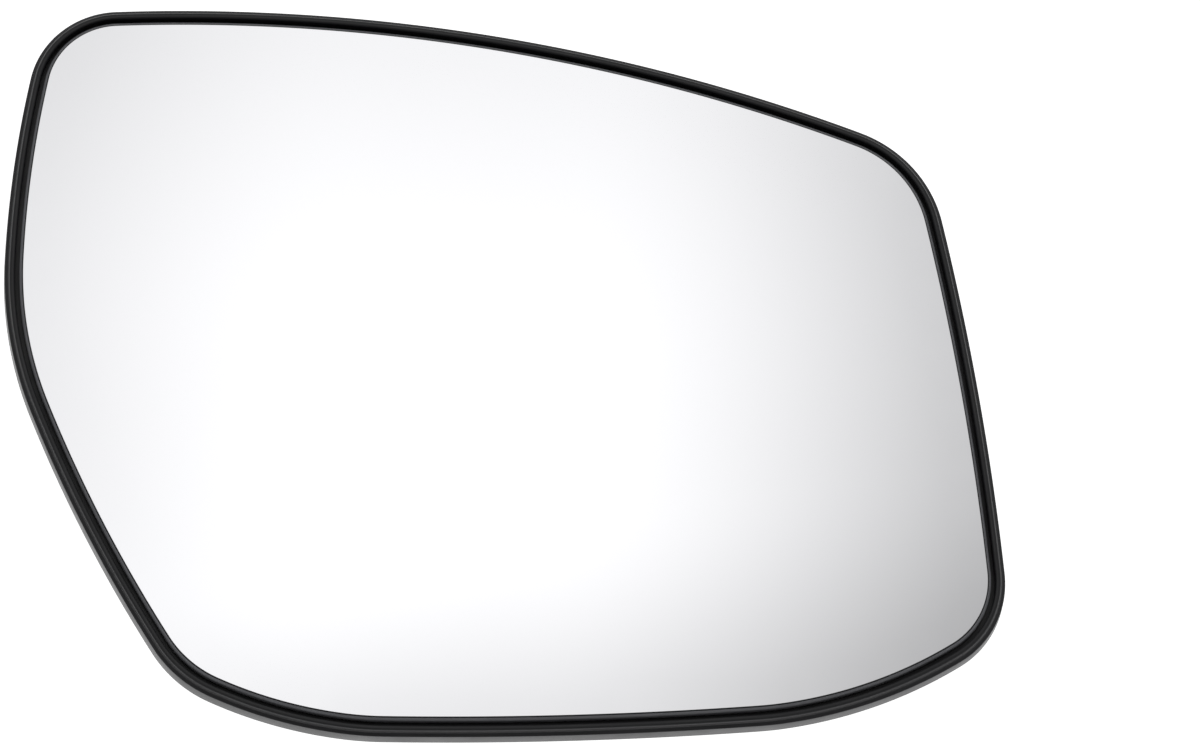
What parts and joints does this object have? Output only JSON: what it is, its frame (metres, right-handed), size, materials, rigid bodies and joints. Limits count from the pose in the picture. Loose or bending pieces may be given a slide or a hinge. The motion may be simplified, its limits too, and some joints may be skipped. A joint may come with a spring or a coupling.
{
  "type": "car door mirror glass",
  "caption": "Convex door mirror pane with a ground bevel, bonded by a foam sheet into a black moulded backing plate with a snap ring at the rear.",
  "frame": {"origin": "on the snap ring's axis, midway along the land of its claws", "axes": "+Z out of the glass along the ring's axis, +X across the glass towards its taller straight end, +Y up across the glass"},
  "size_m": [0.1891, 0.1435, 0.014],
  "materials": {
    "black_plastic": "moulded, satin, fine grain",
    "foam_tape": "closed-cell foam with adhesive on both faces",
    "mirror": "silvered glass, ground edge"
  },
  "bodies": {
    "root": {"backing_plate": "black_plastic", "adhesive_pad": "foam_tape", "mirror_glass": "mirror"}
  },
  "joints": []
}
